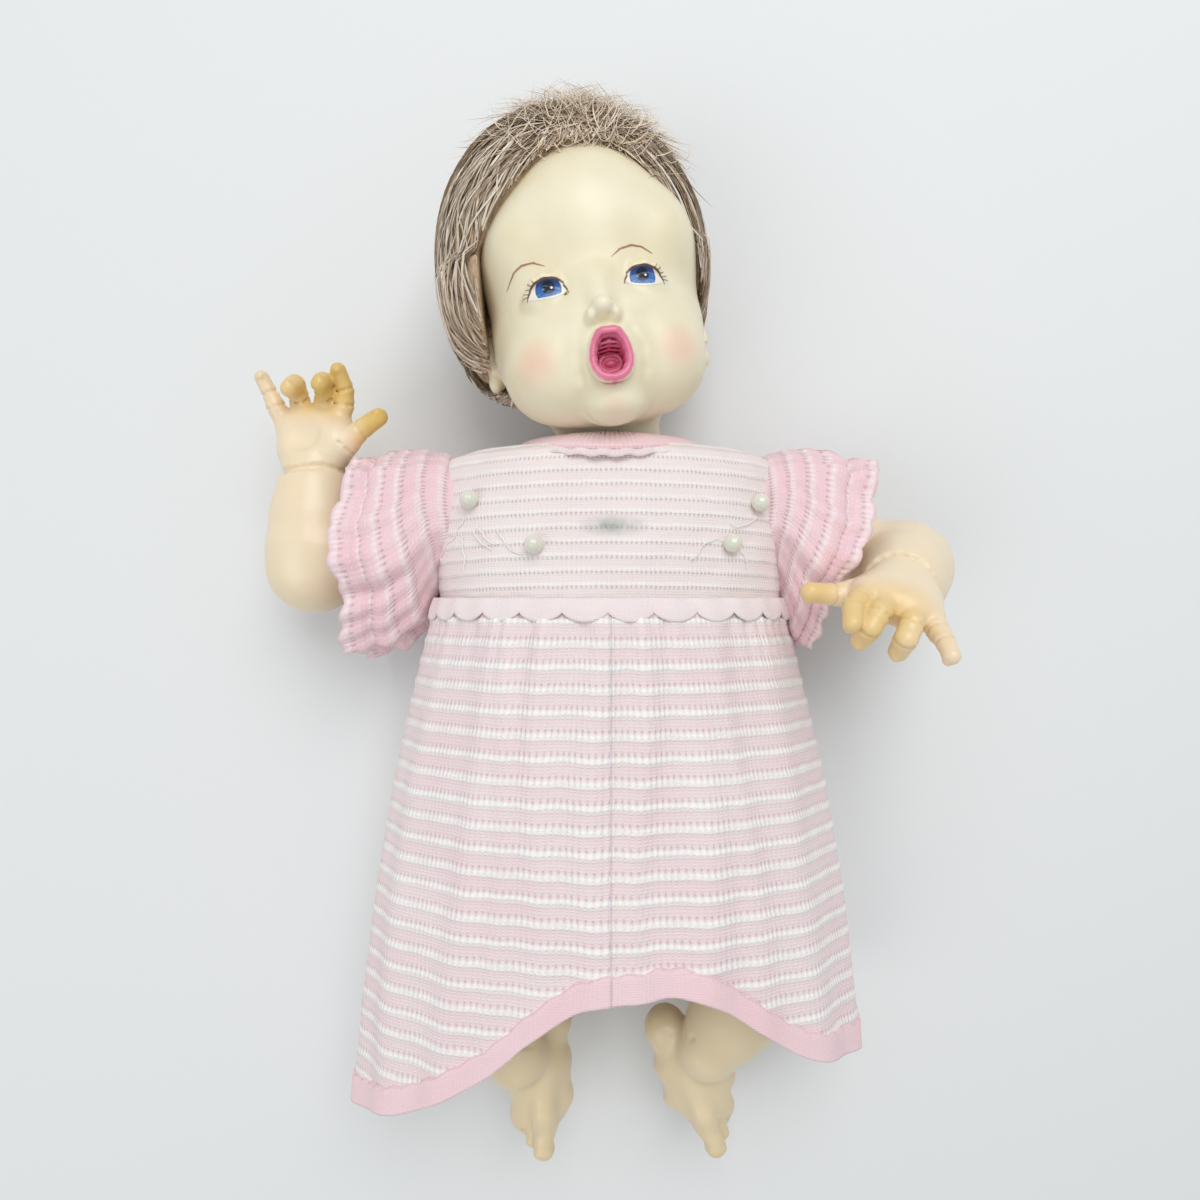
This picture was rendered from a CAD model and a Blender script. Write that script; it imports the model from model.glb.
import bpy
import math
import random
import numpy as np
from mathutils import Matrix, Vector


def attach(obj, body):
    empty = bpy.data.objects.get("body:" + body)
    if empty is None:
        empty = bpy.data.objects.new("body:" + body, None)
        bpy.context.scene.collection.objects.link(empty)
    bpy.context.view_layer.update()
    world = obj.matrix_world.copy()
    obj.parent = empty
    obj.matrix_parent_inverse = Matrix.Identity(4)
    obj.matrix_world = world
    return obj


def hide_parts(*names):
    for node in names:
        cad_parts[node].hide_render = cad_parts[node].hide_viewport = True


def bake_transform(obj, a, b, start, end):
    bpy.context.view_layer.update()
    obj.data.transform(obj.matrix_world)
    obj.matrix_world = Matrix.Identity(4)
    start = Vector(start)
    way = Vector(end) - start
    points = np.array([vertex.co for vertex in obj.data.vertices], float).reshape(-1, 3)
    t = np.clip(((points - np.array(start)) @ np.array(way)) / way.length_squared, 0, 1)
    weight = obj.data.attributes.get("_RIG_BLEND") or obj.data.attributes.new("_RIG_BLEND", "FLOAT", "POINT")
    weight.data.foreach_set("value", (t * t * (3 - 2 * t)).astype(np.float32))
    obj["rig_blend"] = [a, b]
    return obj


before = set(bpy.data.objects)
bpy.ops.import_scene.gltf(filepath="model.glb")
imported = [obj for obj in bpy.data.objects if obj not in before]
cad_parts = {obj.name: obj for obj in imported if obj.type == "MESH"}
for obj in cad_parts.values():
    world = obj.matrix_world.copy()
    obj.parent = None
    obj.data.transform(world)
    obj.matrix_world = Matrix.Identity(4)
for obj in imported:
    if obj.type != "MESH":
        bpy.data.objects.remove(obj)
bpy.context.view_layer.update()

# ---------------------------------------------------------------------------------------
# The room: a plain pale floor that the doll lies on, lit by a broad soft lamp overhead and
# two weak fill lamps, and the camera straight above the doll's waist.
camera_data = bpy.data.cameras.new("camera")
camera_data.lens = 22.5
camera_data.sensor_width = 36.0
camera_data.clip_start = 0.01
camera = bpy.data.objects.new("camera", camera_data)
camera.location = (-0.0045, 0.0, 0.420)
bpy.context.collection.objects.link(camera)
bpy.context.scene.camera = camera
bpy.context.scene.view_settings.view_transform = "Standard"


def linear(code):
    """sRGB hex colour as linear values."""
    parts = [int(code[i:i + 2], 16) / 255 for i in (1, 3, 5)]
    return [p / 12.92 if p <= 0.04045 else ((p + 0.055) / 1.055) ** 2.4 for p in parts] + [1.0]


def add(material, kind, settings=None, **links):
    """Add a node: settings by attribute, links and values by input name or number."""
    tree = material.node_tree
    made = tree.nodes.new(kind)
    for name, value in (settings or {}).items():
        setattr(made, name, value)
    for name, value in links.items():
        key = int(name[1:]) if name[0] == "i" and name[1:].isdigit() else name.replace("_", " ")
        socket = made.inputs[key]
        if isinstance(value, bpy.types.NodeSocket):
            tree.links.new(value, socket)
        else:
            socket.default_value = value
    return made


def new_material(name):
    """Empty node material with its output."""
    material = bpy.data.materials.new(name)
    material.use_nodes = True
    material.node_tree.nodes.clear()
    add(material, "ShaderNodeOutputMaterial")
    return material


def finish_with(material, shader):
    """Send the shader to the material's output."""
    out = next(n for n in material.node_tree.nodes if n.type == "OUTPUT_MATERIAL")
    material.node_tree.links.new(shader, out.inputs["Surface"])
    return material


def gradient(material, factor, stops):
    """Colour ramp over a factor: stops are (position, colour code)."""
    ramp = add(material, "ShaderNodeValToRGB", Fac=factor)
    ramp.color_ramp.elements.remove(ramp.color_ramp.elements[1])
    ramp.color_ramp.elements[0].position = stops[0][0]
    ramp.color_ramp.elements[0].color = linear(stops[0][1])
    for position, code in stops[1:]:
        ramp.color_ramp.elements.new(position).color = linear(code)
    return ramp.outputs["Color"]


def place_mesh(name, points, faces, smooth=True):
    """Mesh object from arrays of points, in millimetres, and faces."""
    mesh = bpy.data.meshes.new(name)
    mesh.from_pydata((np.asarray(points, dtype=np.float64) * 0.001).tolist(), [],
                     faces.tolist() if hasattr(faces, "tolist") else faces)
    mesh.update()
    if smooth:
        mesh.shade_smooth()
    piece = bpy.data.objects.new(name, mesh)
    bpy.context.collection.objects.link(piece)
    return piece


# paper backdrop: matt white, seen as plain pale grey-white
backdrop = new_material("backdrop_paper")
matt = add(backdrop, "ShaderNodeBsdfDiffuse", Color=linear("#E9EBEB"))
finish_with(backdrop, matt.outputs[0])
floor = place_mesh("floor", [(-3000, -3000, 0), (3000, -3000, 0), (3000, 3000, 0), (-3000, 3000, 0)],
                   [(0, 1, 2, 3)], smooth=False)
floor.location.z = -0.0006
floor.data.materials.append(backdrop)

world = bpy.data.worlds.new("studio")
bpy.context.scene.world = world
world.use_nodes = True
world.node_tree.nodes["Background"].inputs["Color"].default_value = linear("#F4F6F8")
world.node_tree.nodes["Background"].inputs["Strength"].default_value = 0.55
for name, spot, aim, size, power in (
        ("window_light", (0.25, 0.9, 1.5), (0.0, 0.05, 0.0), 1.2, 15.0),
        ("fill_light", (-0.9, -0.5, 1.2), (0.0, 0.0, 0.0), 1.0, 4.0)):
    lamp_data = bpy.data.lights.new(name, "AREA")
    lamp_data.size = size
    lamp_data.energy = power
    lamp = bpy.data.objects.new(name, lamp_data)
    lamp.location = spot
    lamp.rotation_euler = (Vector(aim) - Vector(spot)).to_track_quat("-Z", "Y").to_euler()
    bpy.context.collection.objects.link(lamp)

# ---------------------------------------------------------------------------------------
# Head: one soft vinyl moulding, cast in a closed mould. The lids, nose, ears and the open
# singing mouth are moulded in. It is modelled like clay, from rounded lumps that melt together.
HEAD_AT = (Matrix.Translation((0, 80, 47)) @ Matrix.Rotation(math.radians(8), 4, "Z")
           @ Matrix.Rotation(math.radians(3), 4, "Y"))


class Clay:
    """A block of modelling clay: lumps are pressed on or cut out, then its skin is taken."""

    def __init__(self, low, high, step):
        self.low = np.array(low, np.float32)
        self.step = step
        self.count = [int(math.ceil((b - a) / step)) + 1 for a, b in zip(low, high)]
        self.field = np.full(self.count, 12.0, np.float32)

    def window(self, low, high):
        first = [max(0, int((a - l) / self.step)) for a, l in zip(low, self.low)]
        last = [min(n, int((b - l) / self.step) + 2) for b, l, n in zip(high, self.low, self.count)]
        cut = tuple(slice(a, max(b, a)) for a, b in zip(first, last))
        axes = [np.arange(a, max(b, a), dtype=np.float32) * self.step + l
                for a, b, l in zip(first, last, self.low)]
        return cut, np.meshgrid(*axes, indexing="ij", sparse=True)

    def press(self, away, cut, soft, dig):
        old = self.field[cut]
        if dig:
            mixed = np.clip(0.5 - 0.5 * (old + away) / soft, 0, 1)
            new = old * (1 - mixed) - away * mixed + soft * mixed * (1 - mixed)
        else:
            mixed = np.clip(0.5 + 0.5 * (old - away) / soft, 0, 1)
            new = old * (1 - mixed) + away * mixed - soft * mixed * (1 - mixed)
        self.field[cut] = new

    def lump(self, centre, radii, soft=4.0, dig=False, turn=None):
        """Ellipsoid, optionally turned by a 3x3 rotation."""
        reach = max(radii) + soft + 3 if turn is not None else None
        grow = [reach] * 3 if reach else [r + soft + 3 for r in radii]
        cut, (x, y, z) = self.window([c - g for c, g in zip(centre, grow)],
                                     [c + g for c, g in zip(centre, grow)])
        x, y, z = x - centre[0], y - centre[1], z - centre[2]
        if turn is not None:
            x, y, z = (turn[0][i] * x + turn[1][i] * y + turn[2][i] * z for i in range(3))
        rx, ry, rz = radii
        near = np.sqrt((x / rx) ** 2 + (y / ry) ** 2 + (z / rz) ** 2)
        slope = np.sqrt((x / rx ** 2) ** 2 + (y / ry ** 2) ** 2 + (z / rz ** 2) ** 2) + 1e-9
        self.press(near * (near - 1) / slope, cut, soft, dig)

    def roll(self, points, radii, soft=2.0, dig=False):
        """Rolled strip of clay through points, with a radius at each."""
        for i in range(len(points) - 1):
            a, b = np.array(points[i], np.float32), np.array(points[i + 1], np.float32)
            ra, rb = radii[i], radii[i + 1]
            grow = max(ra, rb) + soft + 3
            cut, (x, y, z) = self.window(np.minimum(a, b) - grow, np.maximum(a, b) + grow)
            run = b - a
            along = ((x - a[0]) * run[0] + (y - a[1]) * run[1] + (z - a[2]) * run[2])
            along = np.clip(along / max(float(run @ run), 1e-6), 0, 1)
            away = np.sqrt((x - a[0] - run[0] * along) ** 2 + (y - a[1] - run[1] * along) ** 2
                           + (z - a[2] - run[2] * along) ** 2) - (ra + (rb - ra) * along)
            self.press(away, cut, soft, dig)

    def skin(self):
        """Points and four-sided faces of the clay's surface."""
        f = self.field
        inside = f < 0
        cells = [n - 1 for n in self.count]
        place = np.zeros(cells + [3], np.float32)
        hits = np.zeros(cells, np.float32)
        crossings = []
        for axis in range(3):
            a = np.moveaxis(f, axis, 0)[:-1]
            b = np.moveaxis(f, axis, 0)[1:]
            crossed = (a < 0) != (b < 0)
            part = np.where(crossed, a / np.where(crossed, a - b, 1), 0)
            crossed = np.moveaxis(crossed, 0, axis)
            part = np.moveaxis(part, 0, axis)
            crossings.append(crossed)
            others = [i for i in range(3) if i != axis]
            for da in (0, 1):
                for db in (0, 1):
                    pick = [slice(None)] * 3
                    pick[others[0]] = slice(da, cells[others[0]] + da)
                    pick[others[1]] = slice(db, cells[others[1]] + db)
                    m = crossed[tuple(pick)]
                    hits += m
                    place[..., axis] += part[tuple(pick)]
                    place[..., others[0]] += m * da
                    place[..., others[1]] += m * db
        used = hits > 0
        number = np.full(cells, -1, np.int64)
        number[used] = np.arange(int(used.sum()))
        where = np.argwhere(used).astype(np.float32) + place[used] / hits[used][:, None]
        points = where * self.step + self.low
        faces = []
        for axis in range(3):
            others = [i for i in range(3) if i != axis]
            spots = np.argwhere(crossings[axis])
            good = ((spots[:, others[0]] > 0) & (spots[:, others[1]] > 0)
                    & (spots[:, others[0]] < cells[others[0]]) & (spots[:, others[1]] < cells[others[1]]))
            spots = spots[good]
            ring = []
            for da, db in ((1, 1), (0, 1), (0, 0), (1, 0)):
                at = spots.copy()
                at[:, others[0]] -= da
                at[:, others[1]] -= db
                ring.append(number[at[:, 0], at[:, 1], at[:, 2]])
            quads = np.stack(ring, 1)
            flip = ~inside[spots[:, 0], spots[:, 1], spots[:, 2]]
            if axis == 1:
                flip = ~flip
            quads[flip] = quads[flip][:, ::-1]
            faces.append(quads)
        faces = np.concatenate(faces)
        return points, faces[(faces >= 0).all(1)]

    def depth(self, points):
        """Value of the clay's distance field at points."""
        at = (np.asarray(points, np.float32) - self.low) / self.step
        at = np.clip(at, 0, np.array(self.count) - 1.001)
        i = at.astype(int)
        t = at - i
        total = 0
        for dx in (0, 1):
            for dy in (0, 1):
                for dz in (0, 1):
                    w = (np.where(dx, t[:, 0], 1 - t[:, 0]) * np.where(dy, t[:, 1], 1 - t[:, 1])
                         * np.where(dz, t[:, 2], 1 - t[:, 2]))
                    total = total + w * self.field[i[:, 0] + dx, i[:, 1] + dy, i[:, 2] + dz]
        return total

    def front(self, x, y, start=80.0, lift=0.0):
        """Height of the front of the clay over points of its face, and a little more."""
        x, y = np.asarray(x, np.float32), np.asarray(y, np.float32)
        z = np.full(x.shape, start, np.float32)
        for _ in range(60):
            away = self.depth(np.stack([x, y, z], 1))
            z = z - np.clip(away - lift, -2, 4) * 0.8
        return z


def put_in_place(points, matrix):
    """Carry points by a placing matrix, in millimetres."""
    m = np.array(matrix)
    return np.asarray(points) @ m[:3, :3].T + m[:3, 3]


MOUTH = (-0.3, 21.2)
face = Clay((-60, -14, -46), (60, 146, 78), 0.7)
face.lump((0, 78, 8), (50.5, 62, 49), 4)
face.lump((0, 43, 16), (50, 42, 45), 9)
for side in (-1, 1):
    face.lump((side * 24, 25, 33), (21.5, 22, 23.5), 8)
    face.lump((side * 29, 78, 24), (20, 26, 30), 8)
face.lump((0, 15, 36), (28, 15, 22), 9)
face.lump((0, 4.5, 46), (14.0, 8.5, 13.0), 3.5)
face.lump((0, 88, 30), (36, 32, 29), 10)
face.roll([(0, -14, 0), (0, 14, 0)], [24.5, 26], 7)
face.lump((0, 23, 50), (17, 16, 14.5), 7)
# nose: low bridge, round tip, wings and nostrils
face.roll([(-1, 57, 53), (-1, 46, 60.5)], [5.0, 4.0], 6)
face.lump((-1, 40.8, 64.2), (4.6, 4.3, 6.0), 2.4)
for side in (-1, 1):
    face.lump((side * 5.0 - 1, 38.2, 62.3), (3.3, 3.3, 4.2), 1.6)
    face.lump((side * 2.7 - 1, 36.2, 66.3), (1.35, 1.15, 2.4), 0.8, dig=True)
# shallow sockets, then the balls of the eyes under a soft fold of the upper lid
EYES = ((-1, -22.4, 51.6), (1, 18.9, 52.4))
for side, ex, ey in EYES:
    face.lump((ex, ey + 2.5, 65.5), (13, 8.5, 8.0), 7, dig=True)
    face.lump((ex - side * 0.6, ey - 0.4, 45.2), (12.6, 9.6, 11.6), 1.6)
    fold = [(-9.6, -1.2, 5.2), (-7.2, 3.9, 8.0), (-3.2, 6.9, 9.7), (1.2, 7.7, 10.0),
            (5.6, 6.2, 8.9), (9.2, 2.4, 6.2)]
    face.roll([(ex + side * x, ey + y, 45.6 + z) for x, y, z in fold], [0.9, 1.4, 1.7, 1.7, 1.5, 0.9], 2.6)
    face.roll([(ex - side * 9.4, ey - 0.8, 55.4), (ex - side * 7.4, ey - 0.6, 55.4)], [1.0, 0.8], 1.5, dig=True)
# lips: a rolled rim round a mouth that is flat above and round below
half_lip = [(0, 9.2), (2.4, 9.3), (4.3, 8.6), (5.9, 5.6), (7.0, 2.4), (7.6, -1.2), (7.2, -4.6), (5.8, -7.4),
            (3.4, -9.2), (0, -9.9)]
outline = half_lip + [(-x, y) for x, y in half_lip[-2:0:-1]]
outline.append(outline[0])
lips = []
for (ax, ay), (bx, by) in zip(outline, outline[1:]):
    for part in (0.0, 0.5):
        x, y = ax + (bx - ax) * part, ay + (by - ay) * part
        lips.append((MOUTH[0] + x, MOUTH[1] + y, 64.6 - 0.07 * abs(x) ** 1.6 - 0.012 * (y + 1) ** 2 * (y < -1)))
lips.append(lips[0])
face.roll(lips, [2.0] * len(lips), 1.4)
for back in range(6):
    keep = 0.70 - 0.03 * back
    ring = [(MOUTH[0] + (x - MOUTH[0]) * keep, MOUTH[1] + (y - MOUTH[1]) * keep, 69.0 - back * 3.6)
            for x, y, z in lips[::3]]
    face.roll(ring + ring[:1], [1.7] * (len(ring) + 1), 0.6, dig=True)
face.lump((MOUTH[0], MOUTH[1] - 0.5, 60), (4.6, 6.4, 12.5), 0.8, dig=True)
face.lump((MOUTH[0], MOUTH[1] - 2.0, 55), (5.6, 6.6, 7.5), 0.8, dig=True)
for step in range(4):
    wide = 4.4 + 0.3 * step
    face.roll([(MOUTH[0] - wide, MOUTH[1] + 5.2 - 1.0 * step, 61.0 - 2.0 * step),
               (MOUTH[0], MOUTH[1] + 6.2 - 1.0 * step, 61.6 - 2.0 * step),
               (MOUTH[0] + wide, MOUTH[1] + 5.2 - 1.0 * step, 61.0 - 2.0 * step)], [0.7, 0.8, 0.7], 0.5)
# soft folds beside the mouth and round the chin
for side in (-1, 1):
    face.roll([(side * 8.0 - 1, 38.5, 63.5), (side * 12.0 - 1, 32.5, 62.6), (side * 14.6, 24, 61.6),
               (side * 15.0, 15.0, 59.6), (side * 13.6, 8.6, 57.6)], [0.4, 0.9, 1.0, 0.9, 0.4], 3.6, dig=True)
    face.roll([(side * 14.6, 8.0, 56.0), (side * 15.0, 1.0, 50.0), (side * 9.0, -4.8, 45.0), (0, -6.4, 42.0)],
              [0.5, 1.1, 1.1, 0.9], 2.8, dig=True)
face.roll([(-7, 8.9, 62.6), (0, 8.0, 63.6), (7, 8.9, 62.6)], [0.4, 0.9, 0.4], 2.4, dig=True)
face.roll([(-1, 35.4, 66.0), (-0.5, 32.8, 66.6)], [0.8, 0.6], 1.4, dig=True)
# ears: a shell with a rolled rim and a lobe
for side in (-1, 1):
    face.lump((side * 50.0, 43.5, -1), (5.4, 12.6, 9.0), 2.5)
    face.lump((side * 55.0, 44.5, 2.0), (3.6, 8.0, 5.0), 1.6, dig=True)
    rim = []
    for i in range(11):
        turn = math.radians(-75 + i * 27)
        rim.append((side * (52.0 + 1.8 * math.cos(turn)), 44.5 + 11.8 * math.sin(turn),
                    -2.2 - 8.0 * math.cos(turn)))
    face.roll(rim, [1.5] * 11, 1.1)
    face.lump((side * 51.8, 33.2, 3.0), (3.0, 4.6, 3.8), 1.4)
    face.roll([(side * 52.8, 40.5, 6.8), (side * 53.0, 45.5, 6.6)], [1.7, 1.3], 1.2)
points, faces = face.skin()
head = place_mesh("vinyl_head", put_in_place(points, HEAD_AT), faces)

# painted lips and lining: how deep each point of the skin lies in the rosy paint
rim_points = np.array([(x, y) for x, y, z in lips])
flat = points[:, :2]
paint = np.zeros(len(points), np.float32)
close = (np.abs(flat[:, 0] - MOUTH[0]) < 14) & (np.abs(flat[:, 1] - MOUTH[1]) < 15) & (points[:, 2] > 38)
turned = np.arctan2(flat[close][:, 1] - MOUTH[1], flat[close][:, 0] - MOUTH[0])
own = np.hypot(flat[close][:, 0] - MOUTH[0], flat[close][:, 1] - MOUTH[1])
rim_turn = np.arctan2(rim_points[:, 1] - MOUTH[1], rim_points[:, 0] - MOUTH[0])
rim_reach = np.hypot(rim_points[:, 0] - MOUTH[0], rim_points[:, 1] - MOUTH[1])
order = np.argsort(rim_turn)
reach = np.interp(turned, rim_turn[order], rim_reach[order], period=2 * math.pi)
paint[close] = np.clip((reach + 2.1 - own) / 0.7, 0, 1)
layer = head.data.attributes.new("rose_paint", "FLOAT", "POINT")
layer.data.foreach_set("value", paint)
deep = np.zeros(len(points), np.float32)
deep[close] = np.clip((62.5 - points[close][:, 2]) / 9.0, 0, 1) * np.clip(paint[close] * 2, 0, 1)
layer = head.data.attributes.new("mouth_depth", "FLOAT", "POINT")
layer.data.foreach_set("value", deep)

# soft PVC, cast: even, slightly waxy ivory that light enters a little, with airbrushed cheeks
vinyl_head = new_material("cast_ivory_vinyl")
spot_in = add(vinyl_head, "ShaderNodeTexCoord").outputs["Object"]
mottle = add(vinyl_head, "ShaderNodeTexNoise", Vector=spot_in, Scale=38.0, Detail=3.0)
tone = gradient(vinyl_head, mottle.outputs["Fac"], [(0.3, "#EADFBD"), (0.55, "#EFE6C9"), (0.8, "#F3EBD2")])
blush_total = None
for bx, by, bz, size in ((-29.5, 24.5, 50.0, 13.5), (28.5, 24.5, 50.0, 13.5), (0, 0.5, 55, 9.0)):
    centre = HEAD_AT @ Vector((bx, by, bz)) * 0.001
    gone = add(vinyl_head, "ShaderNodeVectorMath", {"operation": "DISTANCE"}, i0=spot_in, i1=centre)
    fade = add(vinyl_head, "ShaderNodeMapRange", {"interpolation_type": "SMOOTHSTEP"},
               Value=gone.outputs["Value"], From_Min=0.0, From_Max=size * 0.001,
               To_Min=0.75 if size > 10 else 0.3, To_Max=0.0)
    blush_total = fade.outputs[0] if blush_total is None else add(
        vinyl_head, "ShaderNodeMath", {"operation": "ADD"}, i0=blush_total, i1=fade.outputs[0]).outputs[0]
cheeks = add(vinyl_head, "ShaderNodeMix", {"data_type": "RGBA"}, i0=blush_total, i6=tone,
             i7=linear("#F4B7A6"))
rose_depth = add(vinyl_head, "ShaderNodeAttribute", {"attribute_name": "mouth_depth"})
rose = gradient(vinyl_head, rose_depth.outputs["Fac"],
                [(0.0, "#E07B99"), (0.35, "#D55B7C"), (1.0, "#C04466")])
rose_mask = add(vinyl_head, "ShaderNodeAttribute", {"attribute_name": "rose_paint"})
coat = add(vinyl_head, "ShaderNodeMix", {"data_type": "RGBA"}, i0=rose_mask.outputs["Fac"],
           i6=cheeks.outputs[2], i7=rose)
shine = add(vinyl_head, "ShaderNodeMapRange", Value=rose_mask.outputs["Fac"], To_Min=0.36, To_Max=0.2)
grain = add(vinyl_head, "ShaderNodeTexNoise", Vector=spot_in, Scale=900.0, Detail=2.0)
relief = add(vinyl_head, "ShaderNodeBump", Strength=0.05, Distance=0.0002, Height=grain.outputs["Fac"])
body = add(vinyl_head, "ShaderNodeBsdfPrincipled", Base_Color=coat.outputs[2], Roughness=shine.outputs[0],
           IOR=1.5, Subsurface_Weight=0.12, Subsurface_Scale=0.004, Normal=relief.outputs[0])
body.inputs["Subsurface Radius"].default_value = (1.0, 0.6, 0.4)
finish_with(vinyl_head, body.outputs[0])
head.data.materials.append(vinyl_head)
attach(head, "head")
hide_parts("head_shell")

# ---------------------------------------------------------------------------------------
# Eyes and brows: sprayed and brushed enamel on the vinyl. Each eye has white, a blue iris
# with fine spokes, a dark pupil, a brown line under the lid, lashes and small lights.


def enamel_patch(name, centre, half, step, colour_of):
    """Thin coat of paint on the face: colour_of gives colours and which points are covered."""
    nx, ny = int(2 * half[0] / step) + 1, int(2 * half[1] / step) + 1
    u, v = np.meshgrid(np.linspace(-half[0], half[0], nx), np.linspace(-half[1], half[1], ny), indexing="ij")
    colours, covered = colour_of(u.ravel(), v.ravel())
    x, y = u.ravel() + centre[0], v.ravel() + centre[1]
    z = face.front(x, y, lift=0.13)
    index = np.arange(nx * ny).reshape(nx, ny)
    quads = np.stack([index[:-1, :-1], index[1:, :-1], index[1:, 1:], index[:-1, 1:]], -1).reshape(-1, 4)
    quads = quads[covered[quads].sum(1) >= 3]
    kept, quads = np.unique(quads, return_inverse=True)
    coat = place_mesh(name, put_in_place(np.stack([x, y, z], 1)[kept], HEAD_AT), quads.reshape(-1, 4))
    tint = coat.data.color_attributes.new("enamel", "FLOAT_COLOR", "POINT")
    tint.data.foreach_set("color", np.concatenate([colours[kept], np.ones((len(kept), 1))], 1).ravel())
    return coat


def rgb(code):
    return np.array(linear(code)[:3])


def mix(a, b, t):
    return a * (1 - t[:, None]) + b * t[:, None]


# enamel: glossy brush paint, its colours laid on point by point
enamel = new_material("glossy_enamel_paint")
brushed = add(enamel, "ShaderNodeVertexColor", {"layer_name": "enamel"})
finish_with(enamel, add(enamel, "ShaderNodeBsdfPrincipled", Base_Color=brushed.outputs["Color"],
                        Roughness=0.22, IOR=1.5).outputs[0])
brush = np.random.default_rng(5)
spokes = brush.random(64)


def stroke(u, v, points, thick):
    """How far inside a brush stroke through points each place lies, 0 to 1."""
    best = np.full(u.shape, -9.0)
    for i in range(len(points) - 1):
        (ax, ay), (bx, by) = points[i], points[i + 1]
        run = (bx - ax) ** 2 + (by - ay) ** 2
        t = np.clip(((u - ax) * (bx - ax) + (v - ay) * (by - ay)) / run, 0, 1)
        away = np.hypot(u - ax - (bx - ax) * t, v - ay - (by - ay) * t)
        best = np.maximum(best, (thick[i] + (thick[i + 1] - thick[i]) * t) - away)
    return best


def eye_colours(side):
    def colour_of(u, v):
        out = u * side
        upper = 6.3 * np.clip(1 - np.abs(out / 8.9) ** 2.2, 0, 1) ** 0.62 - 0.06 * out
        lower = -1.9 * np.clip(1 - (out / 8.6) ** 2, 0, 1) - 0.06 * out
        inside = (v < upper) & (v > lower) & (np.abs(out) < 8.4)
        colour = np.tile(rgb("#F1EEDF"), (len(u), 1))
        colour = mix(colour, rgb("#C9B69A"), np.clip((v - upper + 1.8) / 1.8, 0, 1) * 0.5)
        ix, iy = 0.5 * -side, 2.1
        gone = np.hypot(u - ix, v - iy)
        angle = (np.arctan2(v - iy, u - ix) / (2 * math.pi) * 64) % 64
        before = angle.astype(int)
        spoke = spokes[before % 64] * (1 - angle % 1) + spokes[(before + 1) % 64] * (angle % 1)
        iris = mix(np.tile(rgb("#2E5FA8"), (len(u), 1)), rgb("#6FA6DC"), np.clip(spoke * 1.2 - 0.2, 0, 1)
                   * np.clip((gone - 1.8) / 2.5, 0, 1) * np.clip((3.5 - v) / 3.5, 0, 1))
        iris = mix(iris, rgb("#1B3F80"), np.clip((gone - 5.0) / 0.7, 0, 1) * 0.8)
        iris = mix(iris, rgb("#1C3466"), np.clip((v - 3.0) / 2.5, 0, 1) * 0.8)
        iris = mix(iris, rgb("#141E33"), np.clip((3.0 - np.hypot(u - ix, (v - iy - 0.9) * 0.95)) / 0.5, 0, 1))
        iris = mix(iris, rgb("#8FBCE6"), np.clip(1 - np.hypot(u - ix + 2.2, v - iy - 0.4) / 0.9, 0, 1) * 0.7)
        iris = mix(iris, rgb("#FFFFFF"), np.clip((0.62 - np.hypot(u - ix - 1.4, v - iy - 0.8)) / 0.2, 0, 1))
        in_iris = np.clip((5.7 - gone) / 0.25, 0, 1) * np.clip((v - lower - 0.75) / 0.25, 0, 1)
        colour = mix(colour, iris, in_iris)
        colour = mix(colour, rgb("#D9A99A"), np.clip(1 - np.hypot(out + 8.0, v + 0.2) / 1.2, 0, 1) * 0.8)
        line = 0.5 - np.abs(v - upper - 0.3) / (1.0 + 0.012 * out ** 2)
        line = np.where((np.abs(out) < 7.4) & (v > 0.6), line, -9)
        line = np.maximum(line, stroke(out, v, [(-7.2, 3.1), (-8.1, 1.6), (-8.9, -0.6)], [0.5, 0.4, 0.15]))
        lash = stroke(out, v, [(7.2, 2.9), (8.2, 1.3), (9.2, -1.0)], [0.5, 0.4, 0.15])
        for k, (sx, sy, tx, ty) in enumerate(((6.0, 4.2, 8.4, 6.6), (7.0, 3.2, 9.8, 5.0), (7.8, 2.0, 10.9, 3.3),
                                              (8.3, 1.0, 11.4, 1.5), (4.8, 5.2, 6.4, 7.4))):
            mid = ((sx + tx) / 2 + 0.3, (sy + ty) / 2 - 0.25)
            lash = np.maximum(lash, stroke(out, v, [(sx, sy), mid, (tx, ty)], [0.24, 0.2, 0.1]))
        dark = np.clip(np.maximum(line, lash) / 0.12, 0, 1)
        colour = mix(colour, rgb("#6A4A2C"), dark)
        return colour, inside | (np.maximum(line, lash) > 0)
    return colour_of


for side, ex, ey in EYES:
    eye = enamel_patch("painted_eye_" + ("left" if side > 0 else "right"), (ex, ey), (12.2, 8.6), 0.16,
                       eye_colours(side))
    eye.data.materials.append(enamel)
    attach(eye, "head")


def brow_colours(points):
    def colour_of(u, v):
        inked = stroke(u, v, points, [0.12, 0.4, 0.46, 0.4, 0.14])
        return np.tile(rgb("#A97A58"), (len(u), 1)), inked > 0
    return colour_of


for name, centre, points in (
        ("painted_brow_right", (-31, 64), [(-8.6, -3.8), (-4.4, 1.4), (-0.8, 3.0), (4.2, 3.2), (9.0, 1.0)]),
        ("painted_brow_left", (16, 66), [(-9.8, -2.2), (-5.6, 1.0), (-0.4, 2.6), (4.0, 2.0), (8.6, -0.8)])):
    brow = enamel_patch(name, centre, (10.5, 6), 0.16, brow_colours(points))
    brow.data.materials.append(enamel)
    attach(brow, "head")

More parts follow.
